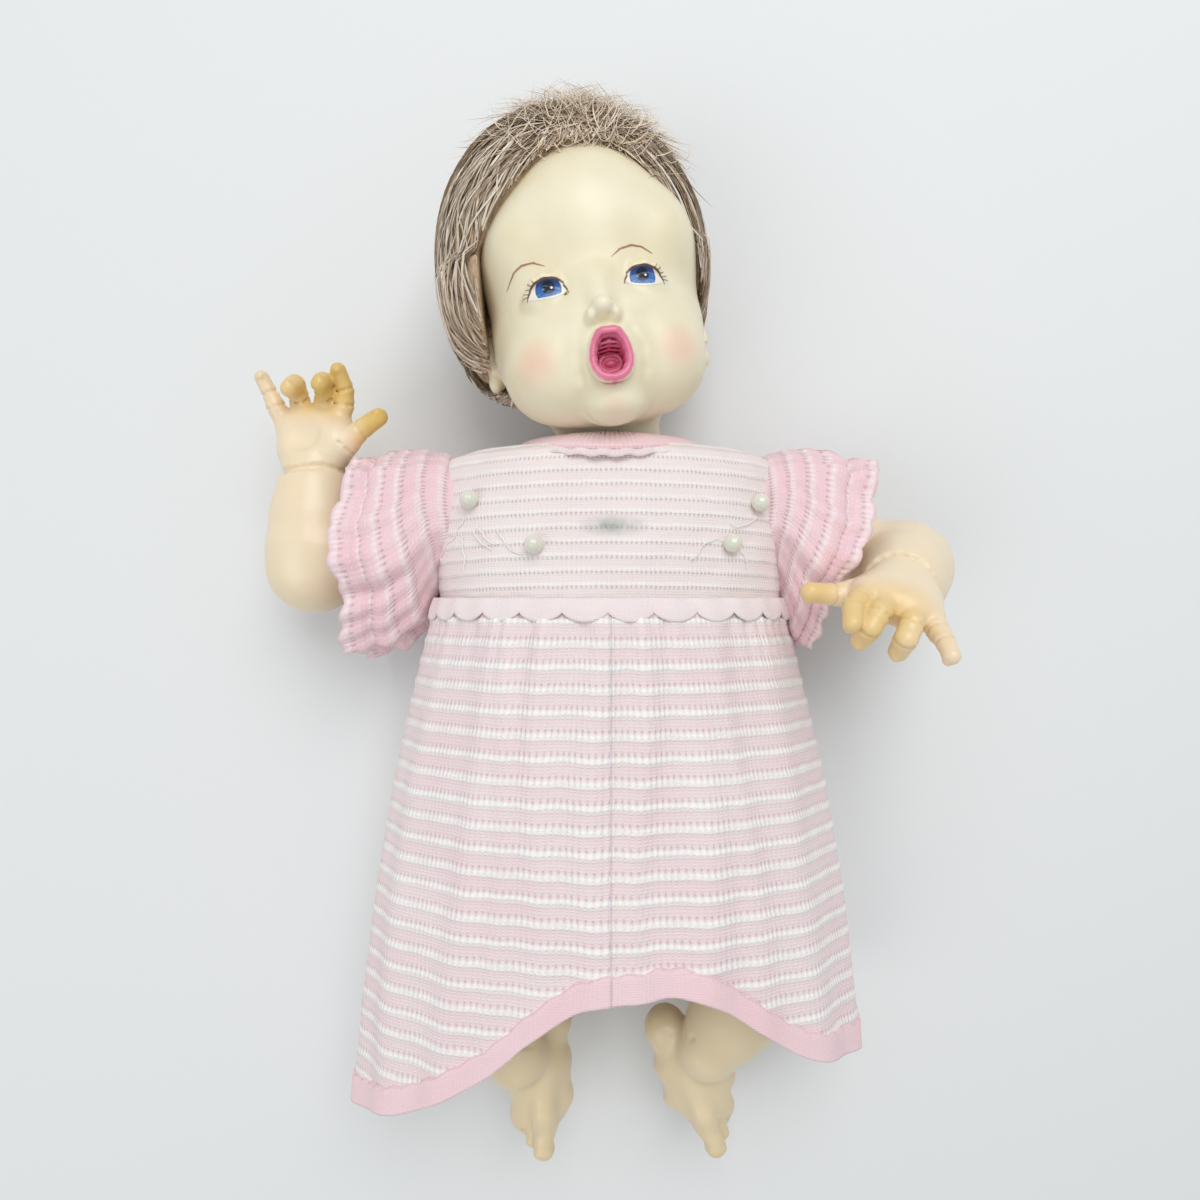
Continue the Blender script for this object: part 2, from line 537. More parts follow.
# ---------------------------------------------------------------------------------------
# Tongue: a separate oval vinyl button in the floor of the mouth, with a raised rim and a
# raised middle; it is pressed to make the doll sing.
tongue_clay = Clay((-8, 12, 40), (8, 29, 62), 0.35)
tongue_clay.lump((0, 20.2, 48), (5.3, 4.4, 7.6), 0.6)
tongue_clay.lump((0, 20.2, 57.6), (4.2, 3.2, 3.4), 0.8, dig=True)
rim = [(4.7 * math.cos(i * math.pi / 12), 20.2 + 3.7 * math.sin(i * math.pi / 12), 54.4) for i in range(25)]
tongue_clay.roll(rim, [0.95] * 25, 0.8)
tongue_clay.lump((0, 20.0, 54.6), (2.9, 1.5, 1.5), 0.8)
points, faces = tongue_clay.skin()
tongue = place_mesh("tongue", put_in_place(points, HEAD_AT), faces)
# tongue vinyl: deep rose, sprayed glossy
rose_vinyl = new_material("glossy_rose_vinyl")
finish_with(rose_vinyl, add(rose_vinyl, "ShaderNodeBsdfPrincipled", Base_Color=linear("#DC6A8A"),
                            Roughness=0.2, Subsurface_Weight=0.1, Subsurface_Scale=0.002).outputs[0])
tongue.data.materials.append(rose_vinyl)
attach(tongue, "tongue")
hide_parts("tongue_button")

# ---------------------------------------------------------------------------------------
# Hair: smooth fibre rooted through the vinyl in rows, cut short. A darker underlayer hides the
# scalp, and thousands of thin tapered locks sweep from the crown down the sides and back.
HAIR_MID = np.array([-6.0, 80.0, 6.0])
HAIRLINE = [(-60, -60), (-51, 10), (-52, 58), (-49.5, 84), (-38, 97), (-21, 112), (-7, 120), (11, 120),
            (24, 110), (34, 98), (43, 86), (48, 70), (51, 50), (52, 10), (60, -60)]


def hair_reach(way):
    """Distance from the middle of the hair to its outside, along unit ways."""
    rx = np.where(way[:, 0] < 0, 67.0, 66.0)
    ry = np.where(way[:, 1] > 0, 77.0, 66.0)
    rz = np.where(way[:, 2] > 0, 55.0, 50.0)
    power = np.where(way[:, 1] > 0, 2.1, 2.7)
    total = np.abs(way[:, 0] / rx) ** power + np.abs(way[:, 1] / ry) ** power + np.abs(way[:, 2] / rz) ** power
    return total ** (-1 / power)


def over_face(x, y):
    """Signed distance to the edge of the face opening: negative over the bare face."""
    x, y = np.broadcast_arrays(np.asarray(x, np.float32), np.asarray(y, np.float32))
    best = np.full(x.shape, 1e9, np.float32)
    inside = np.zeros(x.shape, bool)
    for (ax, ay), (bx, by) in zip(HAIRLINE, HAIRLINE[1:] + HAIRLINE[:1]):
        t = np.clip(((x - ax) * (bx - ax) + (y - ay) * (by - ay)) / ((bx - ax) ** 2 + (by - ay) ** 2), 0, 1)
        best = np.minimum(best, np.hypot(x - ax - (bx - ax) * t, y - ay - (by - ay) * t))
        crosses = ((ay > y) != (by > y)) & (x < (bx - ax) * (y - ay) / ((by - ay) or 1e-9) + ax)
        inside ^= crosses
    return np.where(inside, -best, best)


def scalp_reach(way):
    """Distance from the middle of the hair to the vinyl scalp, along unit ways."""
    radii = np.array([50.5, 62.0, 49.0])
    a = ((way / radii) ** 2).sum(1)
    off = (HAIR_MID - np.array([0.0, 78.0, 8.0])) / radii
    b = (way / radii * off).sum(1)
    return (-b + np.sqrt(np.maximum(b * b - a * ((off ** 2).sum() - 1), 0))) / a


def hugging(way, radius):
    """Radius of the hair along ways, drawn down to the scalp beside the face."""
    spot = way * radius[:, None] + HAIR_MID
    edge = np.clip(over_face(spot[:, 0], spot[:, 1]) / 16.0, 0, 1)
    edge = np.clip(edge + np.clip((8 - spot[:, 2]) / 26.0, 0, 1), 0, 1)
    scalp = scalp_reach(way) + 0.5
    return scalp + (radius - scalp) * (0.16 + 0.84 * edge ** 0.6)


cap = Clay((-76, 6, -50), (66, 162, 66), 1.8)
gx, gy, gz = np.meshgrid(*[np.arange(n, dtype=np.float32) * cap.step + l for n, l in zip(cap.count, cap.low)],
                         indexing="ij")
away = np.stack([gx, gy, gz], -1).reshape(-1, 3) - HAIR_MID
length = np.linalg.norm(away, axis=1) + 1e-6
ways = away / length[:, None]
cap.field = (length - hugging(ways, hair_reach(ways) * 0.93)).reshape(cap.count).astype(np.float32)
bare = np.maximum(over_face(gx, gy), 4.0 - gz)
cap.press(bare, (slice(None),) * 3, 2.5, True)
for side in (-1, 1):
    cap.lump((side * 53, 42, 3), (9, 15, 9.5), 2, dig=True)
cap.lump((0, 0, 0), (31, 24, 30), 2, dig=True)
points, faces = cap.skin()
underlayer = place_mesh("hair_underlayer", put_in_place(points, HEAD_AT), faces)

seeded = np.random.default_rng(11)
SOURCE = np.array([6.0, 128.0, 40.0]) - HAIR_MID
SOURCE /= np.linalg.norm(SOURCE)


def locks(count, starts, ways, runs, layers, lift, widths, tint, bend):
    """Ribbons on the hair: each leaves a unit start along a way, run as an angle."""
    parts = 10
    across = np.cross(starts, ways)
    across /= np.linalg.norm(across, axis=1)[:, None]
    along = np.cross(across, starts)
    t = np.linspace(0, 1, parts)
    angle = runs[:, None] * t[None, :]
    sway = bend[:, None] * np.sin(t[None, :] * 3.0) * t[None, :]
    ways_on = (starts[:, None, :] * np.cos(angle)[..., None] + along[:, None, :] * np.sin(angle)[..., None]
               + across[:, None, :] * sway[..., None])
    ways_on /= np.linalg.norm(ways_on, axis=2)[..., None]
    reach = hair_reach(ways_on.reshape(-1, 3)).reshape(count, parts)
    radius = hugging(ways_on.reshape(-1, 3), reach.ravel()).reshape(count, parts)
    radius = radius * (layers[:, None] + lift[:, None] * t[None, :] ** 2)
    radius = radius - 3.0 * t[None, :] ** 6 * (lift[:, None] <= 0.02)
    middle = ways_on * radius[..., None] + HAIR_MID
    step = np.gradient(middle, axis=1)
    step /= np.linalg.norm(step, axis=2)[..., None] + 1e-9
    side = np.cross(step, ways_on)
    side /= np.linalg.norm(side, axis=2)[..., None] + 1e-9
    tilt = seeded.normal(0, 0.25, count)[:, None, None]
    side = side * np.cos(tilt) + ways_on * np.sin(tilt)
    taper = widths[:, None] * np.clip(np.minimum(0.45 + 4 * t, 2.6 * (1 - t) + 0.08), 0, 1)[None, :]
    rails = np.stack([middle - side * taper[..., None], middle + side * taper[..., None]], 2)
    return rails, np.repeat(tint[:, None], parts * 2, 1), middle


def ribbons(rails, tint, keep):
    """Points, faces and tints of the ribbons, without the parts to leave out."""
    count, parts = rails.shape[:2]
    index = np.arange(count * parts * 2).reshape(count, parts, 2)
    quads = np.stack([index[:, :-1, 0], index[:, :-1, 1], index[:, 1:, 1], index[:, 1:, 0]], -1)
    quads = quads[keep[:, :-1] & keep[:, 1:]]
    used, quads = np.unique(quads, return_inverse=True)
    return rails.reshape(-1, 3)[used], quads.reshape(-1, 4), tint.reshape(-1)[used]


count = 15000
starts = seeded.normal(0, 1, (count, 3))
starts /= np.linalg.norm(starts, axis=1)[:, None]
close_by = seeded.random(count) < 0.34
starts[close_by] = SOURCE + seeded.normal(0, 0.30, (int(close_by.sum()), 3))
starts /= np.linalg.norm(starts, axis=1)[:, None]
ways = starts - SOURCE * (starts @ SOURCE)[:, None] + seeded.normal(0, 0.10, (count, 3))
down = np.array([0.0, -1.0, -0.12])
ways /= np.linalg.norm(ways, axis=1)[:, None]
ways = ways + down * np.clip(0.55 - starts[:, 1:2], 0.0, 1.3) * 1.3
ways -= starts * (ways * starts).sum(1)[:, None]
runs = seeded.uniform(0.45, 1.15, count)
rails, tint, middle = locks(count, starts, ways, runs, seeded.uniform(0.925, 1.0, count), np.zeros(count),
                            seeded.uniform(0.28, 0.6, count), seeded.random(count),
                            seeded.normal(0, 0.06, count))
ends = 21 + 6 * seeded.random((count, 1))
ear_near = np.hypot((middle[..., 1] - 42) / 15.5, (middle[..., 2] - 3) / 10.0)
keep = ((over_face(middle[..., 0], middle[..., 1]) > 0.4) | (middle[..., 2] < 3)) & (middle[..., 1] > ends - 6)
keep &= ~((ear_near < 1) & (np.abs(middle[..., 0] + 1) > 40))
keep = np.minimum.accumulate(keep, axis=1) | (keep & (middle[..., 1] > 60) & (middle[..., 2] < 30))
lock_points, lock_faces, lock_tint = ribbons(rails, tint, keep)

# loose tuft over the forehead and stray wisps
count = 1500
starts = SOURCE + seeded.normal(0, 0.2, (count, 3)) * np.array([1.5, 0.5, 0.7]) + np.array([0.05, 0.03, -0.05])
starts /= np.linalg.norm(starts, axis=1)[:, None]
ways = np.array([0.35, 0.75, 0.1]) + seeded.normal(0, 0.6, (count, 3)) * np.array([1.5, 0.6, 0.6])
rails, tint, middle = locks(
    count, starts, ways, seeded.uniform(0.22, 0.6, count), seeded.uniform(0.93, 0.98, count),
    seeded.uniform(0.02, 0.17, count), seeded.uniform(0.18, 0.4, count),
    0.25 + 0.75 * seeded.random(count), seeded.normal(0, 0.22, count))
keep = (over_face(middle[..., 0], middle[..., 1]) > -4) & (middle[..., 1] < 172)
more_points, more_faces, more_tint = ribbons(rails, tint, keep)
lock_faces = np.concatenate([lock_faces, more_faces + len(lock_points)])
lock_points = np.concatenate([lock_points, more_points])
lock_tint = np.concatenate([lock_tint, more_tint])
fibre = place_mesh("rooted_hair", put_in_place(lock_points, HEAD_AT), lock_faces)
layer = fibre.data.attributes.new("lock_tint", "FLOAT", "POINT")
layer.data.foreach_set("value", lock_tint.astype(np.float32))

# hair fibre: smooth ash-blonde monofilament, each lock its own shade
strands = new_material("smooth_hair_fibre")
lock_shade = add(strands, "ShaderNodeAttribute", {"attribute_name": "lock_tint"})
blonde = gradient(strands, lock_shade.outputs["Fac"], [(0.0, "#BDA386"), (0.3, "#D3BEA3"), (0.65, "#E2D1BA"),
                                                     (1.0, "#F4EADB")])
finish_with(strands, add(strands, "ShaderNodeBsdfPrincipled", Base_Color=blonde, Roughness=0.42,
                       Specular_IOR_Level=0.6, Sheen_Weight=0.15).outputs[0])
fibre.data.materials.append(strands)
# the same fibre close to the roots: darker and matt
roots = new_material("hair_fibre_roots")
spot_in = add(roots, "ShaderNodeTexCoord").outputs["Object"]
streak = add(roots, "ShaderNodeTexNoise", Vector=spot_in, Scale=300.0, Detail=4.0)
finish_with(roots, add(roots, "ShaderNodeBsdfPrincipled", Roughness=0.7, Base_Color=gradient(
    roots, streak.outputs["Fac"], [(0.3, "#A88D70"), (0.7, "#CBB396")])).outputs[0])
underlayer.data.materials.append(roots)
for piece in (underlayer, fibre):
    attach(piece, "head")
    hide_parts("hair")

# ---------------------------------------------------------------------------------------
# Arms: each one bent casting of soft vinyl, with a dimpled hand; the right forearm stands
# beside the head and the left one is swung forward about its shoulder.
SHOULDER_R = np.array([-57.0, 44.0, 47.0])
OUTWARD = np.array([-math.cos(math.radians(17)), -math.sin(math.radians(17)), 0.0])
ELBOW = SHOULDER_R + OUTWARD * 93
arm_clay = Clay((-190, -12, 12), (-50, 126, 84), 0.9)
arm_clay.roll([SHOULDER_R + OUTWARD * d for d in (4, 20, 45, 70, 93)], [17.8, 18.9, 18.4, 18.0, 20.2], 3)


def at_elbow(x, y, z):
    return ELBOW + np.array([x, y, z], float)


arm_clay.lump(at_elbow(-1, -1, -1), (21.5, 20, 21), 5)
arm_clay.roll([at_elbow(0, y, 0) for y in (-2, 10, 26, 38, 47)], [20.0, 21.6, 20.0, 16.6, 14.6], 5)
arm_clay.roll([at_elbow(9, -7, 10), at_elbow(15, 2, 12), at_elbow(17, 10, 5)], [1.0, 1.2, 1.0], 3, dig=True)
crease = [at_elbow(15.4 * math.cos(i * math.pi / 10), 46.5 + 1.2 * math.sin(i * math.pi / 5),
                   15.0 * math.sin(i * math.pi / 10)) for i in range(21)]
arm_clay.roll(crease, [0.9] * 21, 2.2, dig=True)
arm_clay.lump(at_elbow(-1, 57, 0), (17.5, 13, 12.5), 4)
arm_clay.lump(at_elbow(0, 68, 0.5), (19.5, 12, 10.0), 5)
arm_clay.lump(at_elbow(12, 60, 5), (9, 11, 8.5), 4)
arm_clay.lump(at_elbow(-3, 64, 11.5), (8, 8, 3.2), 4, dig=True)
for points, radii in (
        ([(-14, 70, 1), (-18, 78, 3), (-21, 85, 4), (-24, 92, 6)], [5.0, 4.5, 3.7, 3.5]),
        ([(-6, 74, 1), (-7, 83, 3), (-7, 88, 8), (-7, 84, 15)], [5.2, 4.8, 4.6, 4.1]),
        ([(4, 75, 1), (6, 85, 3), (7, 89, 9), (8, 86, 16)], [5.2, 4.8, 4.6, 4.1]),
        ([(12, 72, 1), (15, 80, 2), (16, 87, 4), (14, 95, 8)], [5.2, 4.6, 4.1, 3.8]),
        ([(8, 56, 2), (17, 60, 6), (25, 66, 8), (34, 72, 9)], [8.0, 6.4, 4.8, 4.4])):
    arm_clay.roll([at_elbow(*p) for p in points], radii, 1.6)
    for (ax, ay, az), (bx, by, bz), r in zip(points[1:-1], points[2:], radii[1:-1]):
        way = np.array([bx - ax, by - ay, bz - az], float)
        way /= np.linalg.norm(way)
        flat_way = np.cross(way, (0.0, 0.0, 1.0))
        flat_way /= np.linalg.norm(flat_way)
        third = np.cross(way, flat_way)
        eighth = math.pi / 4
        ring = [at_elbow(ax, ay, az) + r * 1.02 * (flat_way * math.cos(k * eighth)
                                                   + third * math.sin(k * eighth)) for k in range(9)]
        arm_clay.roll(ring, [0.35] * 9, 1.2, dig=True)
    tip, before, r = np.array(points[-1], float), np.array(points[-2], float), radii[-1]
    way = (tip - before) / np.linalg.norm(tip - before)
    back = np.array([0.0, 0.35, 1.0]) if way[2] < 0.7 else np.array([0.0, 1.0, 0.2])
    back -= way * (back @ way)
    back /= np.linalg.norm(back)
    nail = at_elbow(*(tip + back * r * 0.72 + way * 0.6))
    arm_clay.lump(nail, (2.0, 2.0, 2.0), 0.8)
arm_points, arm_faces = arm_clay.skin()

# arm vinyl: warmer than the head, with fingers yellowed by age
def limb_material(name, stops):
    """Cast limb vinyl with its own colours, from new to aged."""
    made = new_material(name)
    aged = add(made, "ShaderNodeAttribute", {"attribute_name": "ageing"})
    spot_in = add(made, "ShaderNodeTexCoord").outputs["Object"]
    mottle = add(made, "ShaderNodeTexNoise", Vector=spot_in, Scale=45.0, Detail=4.0)
    uneven = add(made, "ShaderNodeMath", {"operation": "MULTIPLY_ADD"}, i0=mottle.outputs["Fac"], i1=0.3,
                 i2=aged.outputs["Fac"])
    grain = add(made, "ShaderNodeTexNoise", Vector=spot_in, Scale=900.0, Detail=2.0)
    relief = add(made, "ShaderNodeBump", Strength=0.05, Distance=0.0002, Height=grain.outputs["Fac"])
    body = add(made, "ShaderNodeBsdfPrincipled", Base_Color=gradient(made, uneven.outputs[0], stops),
               Roughness=0.3, Subsurface_Weight=0.1, Subsurface_Scale=0.004, Normal=relief.outputs[0])
    body.inputs["Subsurface Radius"].default_value = (1.0, 0.65, 0.45)
    return finish_with(made, body.outputs[0])


limb_vinyl = limb_material("aged_arm_vinyl", [(0.10, "#F3E3C4"), (0.32, "#F1DBB9"), (0.62, "#ECCF98"),
                                              (1.0, "#E0BE6C")])
# leg vinyl: the same casting vinyl, greyer, with dust in the creases
leg_vinyl = limb_material("aged_leg_vinyl", [(0.10, "#E9DABA"), (0.32, "#E5D3AE"), (0.62, "#DDC79C"),
                                             (1.0, "#CDB083")])

def set_ageing(piece, values):
    layer = piece.data.attributes.new("ageing", "FLOAT", "POINT")
    layer.data.foreach_set("value", np.clip(values, 0, 1).astype(np.float32))


finger_age = np.clip((arm_points[:, 1] - (ELBOW[1] + 66)) / 22, 0, 0.75)
thumb_age = np.clip((arm_points[:, 0] - (ELBOW[0] + 17)) / 16, 0, 0.8) * (arm_points[:, 1] > ELBOW[1] + 50)
arm_age = np.maximum(finger_age * np.clip((arm_points[:, 0] - ELBOW[0] + 26) / 26, 0.25, 1), thumb_age)
swing = (Matrix.Translation((57, 44, 47)) @ Matrix.Rotation(math.radians(112), 4,
                                                           Vector((-OUTWARD[0], OUTWARD[1], 0)))
         @ Matrix.Translation((-57, -44, -47)))
for side, matrix, flip in ((-1, Matrix.Identity(4), False), (1, swing, True)):
    spots = arm_points * np.array([-side, 1, 1])
    faces = arm_faces[:, ::-1] if flip else arm_faces
    name = "right" if side < 0 else "left"
    arm = place_mesh("vinyl_arm_" + name, put_in_place(spots, matrix), faces)
    arm.data.materials.append(limb_vinyl)
    set_ageing(arm, arm_age * (1.0 if side < 0 else 0.7) + 0.02)
    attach(arm, "arm_" + name)
    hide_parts("arm_" + name)

# ---------------------------------------------------------------------------------------
# Legs: bowed chubby baby legs of the same vinyl, knees out, soles turned in towards each
# other; the toes are separate little rolls with creases where dust has settled.


def unit(v):
    v = np.array(v, float)
    return v / np.linalg.norm(v)


def leg_skin(heel, toe_way, sole_side):
    """Left leg as clay: points and faces."""
    forward = unit(toe_way)
    inner = np.array(sole_side, float)
    inner = unit(inner - forward * (inner @ forward))
    top = np.cross(inner, forward)
    start = np.array(heel, float)
    ankle = start + forward * 15 + top * 22
    knee = np.array([82.0, -168.0, 56.0])
    shin = unit(ankle - knee)
    clay = Clay((-12, -302, 2), (118, -64, 98), 1.0)
    clay.roll([(38, -100, 47), (46, -106, 48), (64, -126, 51), knee + np.array([-2, 6, 0])],
              [26, 27.5, 27.5, 24.5], 4)
    clay.roll([knee, knee + shin * 26, knee + shin * 44, ankle + shin * 1], [24.5, 23.5, 19.5, 15.5], 5)

    def foot(along, across, up):
        return start + forward * along + inner * across + top * up

    turn = np.stack([inner, top, forward])
    clay.lump(foot(0, -1, 3), (11.0, 11.5, 11), 5, turn=turn)
    clay.lump(foot(16, -1, 4), (12.0, 14, 18), 6, turn=turn)
    clay.lump(foot(32, -1, 0), (14.0, 10.5, 20), 6, turn=turn)
    clay.lump(foot(44, -1, -3), (15.0, 8.0, 13), 4, turn=turn)
    clay.roll([foot(22, 7, 6), foot(40, 9, 2), foot(50, 8.5, -2)], [5.5, 4.6, 4.6], 5)
    crease = [ankle + shin * -3 + (unit(np.cross(shin, top)) * math.cos(k * math.pi / 8)
                                   + top * math.sin(k * math.pi / 8)) * 16.6 for k in range(9)]
    clay.roll(crease, [0.1, 0.3, 0.6, 0.8, 0.8, 0.8, 0.6, 0.3, 0.1], 2.5, dig=True)
    for across, reach, radius in ((8.2, 56, 5.4), (0.8, 55, 4.5), (-5.0, 52.0, 4.2), (-10.0, 47.5, 3.8),
                                  (-13.8, 42.5, 3.4)):
        clay.roll([foot(reach - 11, across, -3.5), foot(reach - 3, across * 1.04, -2.5),
                   foot(reach + 0.5, across * 1.06, -4.0)], [radius * 0.95, radius * 0.86, radius], 1.0)
        nail = foot(reach + 0.5, across * 1.06, -4.0) + top * (radius * 0.62) + forward * (radius * 0.45)
        clay.lump(nail, (radius * 0.36,) * 3, 0.8)
    for across, reach in ((4.3, 52), (-2.2, 50), (-7.6, 46), (-12.0, 41)):
        clay.roll([foot(reach - 7, across, 3.5), foot(reach + 6, across * 1.04, 1.0)], [0.5, 0.9], 0.9,
                  dig=True)
    points, faces = clay.skin()
    local = (points - start) @ np.stack([forward, inner, top], 1)
    toes = np.clip((local[:, 0] - 40) / 22, 0, 1)
    return points, faces, toes


for side, heel, toe_way, sole_side in ((1, (27, -222, 33), (0.58, -0.80, 0.15), (-0.35, -0.40, 0.85)),
                                       (-1, (27, -216, 33), (0.24, -0.93, 0.22), (-0.62, -0.10, 0.75))):
    points, faces, toes = leg_skin(heel, toe_way, sole_side)
    name = "left" if side > 0 else "right"
    leg = place_mesh("vinyl_leg_" + name, points * np.array([side, 1, 1]),
                     faces if side > 0 else faces[:, ::-1])
    leg.data.materials.append(leg_vinyl)
    set_ageing(leg, 0.12 + 0.22 * toes)
    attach(leg, "leg_" + name)
    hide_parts("leg_" + name)

# ---------------------------------------------------------------------------------------
# Dress: machine-knitted acrylic in white and pale pink. The bodice is a fine eyelet knit, the
# skirt has raised white picot rows every 9.7 mm and is gathered into the waist seam. Each
# panel is a sheet with real thickness; its knit runs by distances along the cloth.
DRESS_Z = 48.5
BODICE = [(71.5, 46, 31.5), (70.8, 68, 37), (67, 79, 41.5), (60, 84, 44.5), (40, 86, 48), (20, 85, 50),
          (0, 83, 51)]
SKIRT = [(1, 83, 51), (-35, 92, 54), (-85, 103, 57), (-140, 112, 59), (-190, 118, 58), (-246, 122, 54)]


def through(rings, y):
    """Half width and half height of a garment at heights y."""
    table = np.array(sorted(rings))
    return np.interp(y, table[:, 0], table[:, 1]), np.interp(y, table[:, 0], table[:, 2])


def girth(rings, y, turn, out):
    """Points round a garment at heights y and turns, moved outwards; its back lies flat."""
    rx, rz = through(rings, y)
    x = (rx + out) * np.cos(turn)
    z = DRESS_Z + (rz + out) * np.sin(turn)
    return np.stack([x, y + 0 * x, np.maximum(z, 0.4)], -1)


def cloth_sheet(name, grid, knit, thick=1.2, closed=False):
    """Two-sided sheet of cloth over a grid of points, with its knit distances."""
    along = np.gradient(grid, axis=0)
    if closed:
        along = (np.roll(grid, -1, 0) - np.roll(grid, 1, 0)) / 2
    facing = np.cross(along, np.gradient(grid, axis=1))
    facing /= np.linalg.norm(facing, axis=2)[..., None] + 1e-9
    nu, nv = grid.shape[:2]
    index = np.arange(nu * nv).reshape(nu, nv)
    on = np.concatenate([index, index[:1]]) if closed else index
    top = np.stack([on[:-1, :-1], on[1:, :-1], on[1:, 1:], on[:-1, 1:]], -1).reshape(-1, 4)
    below = top[:, ::-1] + nu * nv
    rims = []
    edges = [(on[:-1, 0], on[1:, 0]), (on[1:, -1], on[:-1, -1])]
    if not closed:
        edges += [(on[0, 1:], on[0, :-1]), (on[-1, :-1], on[-1, 1:])]
    for a, b in edges:
        rims.append(np.stack([a, a + nu * nv, b + nu * nv, b], -1).reshape(-1, 4))
    points = np.concatenate([grid.reshape(-1, 3), (grid - facing * thick).reshape(-1, 3)])
    sheet = place_mesh(name, points, np.concatenate([top, below] + rims))
    rounded = np.arange(len(sheet.data.polygons)) < len(top) + len(below)
    sheet.data.polygons.foreach_set("use_smooth", rounded)
    coords = np.concatenate([knit.reshape(-1, 2)] * 2)
    layer = sheet.data.attributes.new("knit", "FLOAT_VECTOR", "POINT")
    layer.data.foreach_set("vector", np.concatenate([coords, np.zeros((len(coords), 1))], 1).ravel())
    return sheet


def knit_material(name, ground, ridge, row, rib, pick, depth, eyelet, row_strength=1.0, stain=False):
    """Knit seen close: rows of picots with eyelets under them, over fine ribs; sizes in mm."""
    made = new_material(name)
    where = add(made, "ShaderNodeAttribute", {"attribute_name": "knit"})
    wander = add(made, "ShaderNodeTexNoise", Vector=where.outputs["Vector"], Scale=0.12, Detail=2.0)
    shifted = add(made, "ShaderNodeVectorMath", {"operation": "MULTIPLY_ADD"}, i0=wander.outputs["Color"],
                  i1=(1.2, 1.2, 0.0), i2=where.outputs["Vector"])
    split = add(made, "ShaderNodeSeparateXYZ", Vector=shifted.outputs[0])

    def wave(value, pitch, phase=0.0):
        turn = add(made, "ShaderNodeMath", {"operation": "MULTIPLY_ADD"}, i0=value,
                   i1=2 * math.pi / pitch, i2=phase)
        cos = add(made, "ShaderNodeMath", {"operation": "COSINE"}, i0=turn.outputs[0])
        return add(made, "ShaderNodeMath", {"operation": "MULTIPLY_ADD"}, i0=cos.outputs[0], i1=0.5,
                   i2=0.5).outputs[0]

    def maths(kind, a, b=0.0):
        return add(made, "ShaderNodeMath", {"operation": kind}, i0=a, i1=b).outputs[0]

    row_up = maths("POWER", wave(split.outputs["Y"], row), 5.0)
    picot = wave(split.outputs["X"], pick)
    ridge_mask = maths("MULTIPLY", row_up, maths("ADD", maths("MULTIPLY", picot, 0.6), 0.4))
    ridge_mask = maths("MULTIPLY", ridge_mask, row_strength)
    low = maths("POWER", wave(split.outputs["Y"], row, 1.45), 9.0)
    hole = maths("MULTIPLY", low, maths("POWER", wave(split.outputs["X"], pick, math.pi), 4.0))
    hole = maths("MULTIPLY", hole, eyelet)
    ribs = wave(split.outputs["X"], rib)
    stitch = wave(split.outputs["Y"], rib * 0.62)
    fuzz = add(made, "ShaderNodeTexNoise", Vector=where.outputs["Vector"], Scale=2.6, Detail=3.0)
    patch = add(made, "ShaderNodeTexNoise", Vector=where.outputs["Vector"], Scale=0.02, Detail=2.0)
    base = gradient(made, patch.outputs["Fac"], [(0.35, ground[0]), (0.65, ground[1])])
    ribbed = add(made, "ShaderNodeMix", {"data_type": "RGBA", "blend_type": "MULTIPLY"},
                 i0=maths("MULTIPLY", maths("SUBTRACT", 1.0, maths("MULTIPLY", ribs, stitch)), 0.30), i6=base,
                 i7=linear("#EAD6D8"))
    topped = add(made, "ShaderNodeMix", {"data_type": "RGBA"}, i0=maths("MINIMUM", maths(
        "MULTIPLY", ridge_mask, 1.3), 1.0), i6=ribbed.outputs[2], i7=linear(ridge))
    pitted = add(made, "ShaderNodeMix", {"data_type": "RGBA"}, i0=maths("MULTIPLY", hole, 0.75),
                 i6=topped.outputs[2], i7=linear("#B9A0A2"))
    colour = pitted.outputs[2]
    if stain:
        spot = add(made, "ShaderNodeVectorMath", {"operation": "SUBTRACT"}, i0=where.outputs["Vector"],
                   i1=(1.0, 31.0, 0.0))
        squeezed = add(made, "ShaderNodeVectorMath", {"operation": "MULTIPLY"}, i0=spot.outputs[0],
                       i1=(0.062, 0.19, 0.0))
        gone = add(made, "ShaderNodeVectorMath", {"operation": "LENGTH"}, i0=squeezed.outputs[0])
        mess = add(made, "ShaderNodeTexNoise", Vector=where.outputs["Vector"], Scale=0.22, Detail=4.0)
        grime = maths("MULTIPLY", maths("MAXIMUM", maths("SUBTRACT", 1.0, gone.outputs["Value"]), 0.0),
                      maths("MULTIPLY", mess.outputs["Fac"], 1.5))
        colour = add(made, "ShaderNodeMix", {"data_type": "RGBA"}, i0=maths("MINIMUM", grime, 0.75), i6=colour,
                     i7=linear("#98A39A")).outputs[2]
    height = maths("ADD", maths("MULTIPLY", ridge_mask, 0.8),
                   maths("MULTIPLY", maths("MULTIPLY", ribs, stitch), 0.35))
    height = maths("SUBTRACT", maths("ADD", height, maths("MULTIPLY", fuzz.outputs["Fac"], 0.25)),
                   maths("MULTIPLY", hole, 0.9))
    relief = add(made, "ShaderNodeBump", Strength=0.8, Distance=depth * 0.001, Height=height)
    return finish_with(made, add(made, "ShaderNodeBsdfPrincipled", Base_Color=colour, Roughness=0.85,
                                 Specular_IOR_Level=0.2, Sheen_Weight=0.25, Subsurface_Weight=0.08,
                                 Subsurface_Scale=0.002, Normal=relief.outputs[0]).outputs[0])


